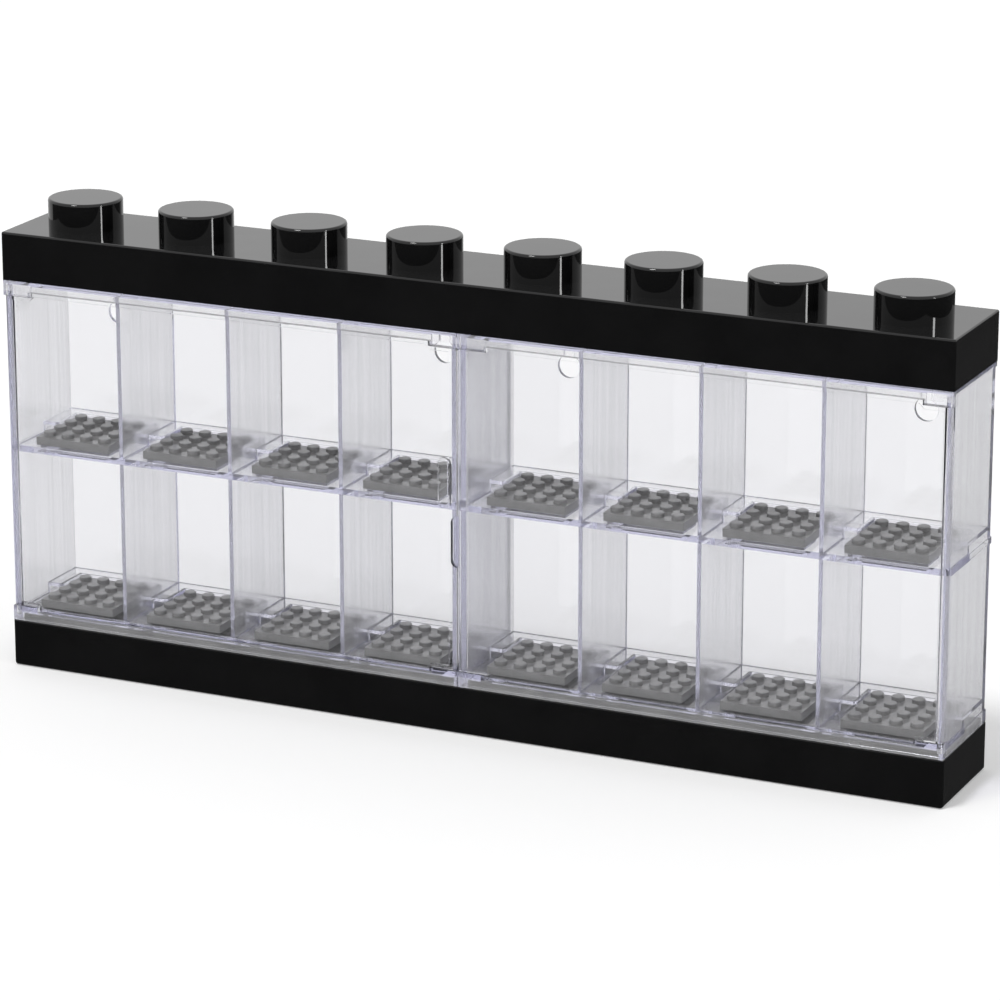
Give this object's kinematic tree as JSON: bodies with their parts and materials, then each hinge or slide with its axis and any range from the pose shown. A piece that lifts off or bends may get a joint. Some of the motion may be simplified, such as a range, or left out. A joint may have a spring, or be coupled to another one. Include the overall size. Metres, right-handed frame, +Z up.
{
  "type": "minifigure display case",
  "caption": "Stackable clear display case for small figures: two rows of compartments with grey studded plates, a dark base, a studded lid and two hinged clear front doors",
  "frame": {"origin": "middle of the underside of the base", "axes": "+X along the case to the right as seen from the front, +Y towards the back, +Z up"},
  "size_m": [0.382, 0.047, 0.184],
  "materials": {
    "black": "polished black moulded plastic",
    "clear": "clear moulded plastic",
    "grey": "satin grey moulded plastic"
  },
  "bodies": {
    "case": {"base": "black", "lid": "black", "tray_lower_left": "clear", "tray_upper_left": "clear", "tray_lower_right": "clear", "tray_upper_right": "clear", "plate_upper_1": "grey", "plate_upper_2": "grey", "plate_upper_3": "grey", "plate_upper_4": "grey", "plate_upper_5": "grey", "plate_upper_6": "grey", "plate_upper_7": "grey", "plate_upper_8": "grey", "plate_lower_1": "grey", "plate_lower_2": "grey", "plate_lower_3": "grey", "plate_lower_4": "grey", "plate_lower_5": "grey", "plate_lower_6": "grey", "plate_lower_7": "grey", "plate_lower_8": "grey"},
    "left_door": {"door_left": "clear"},
    "right_door": {"door_right": "clear"}
  },
  "joints": [
    {"name": "left_door_hinge", "type": "hinge", "parent": "case", "child": "left_door", "pos_m": [-0.1889, -0.0211, 0.0863], "axis": [0, 0, -1], "range_deg": [0, 120]},
    {"name": "right_door_hinge", "type": "hinge", "parent": "case", "child": "right_door", "pos_m": [0.1889, -0.0211, 0.0863], "axis": [0, 0, 1], "range_deg": [0, 120]}
  ]
}
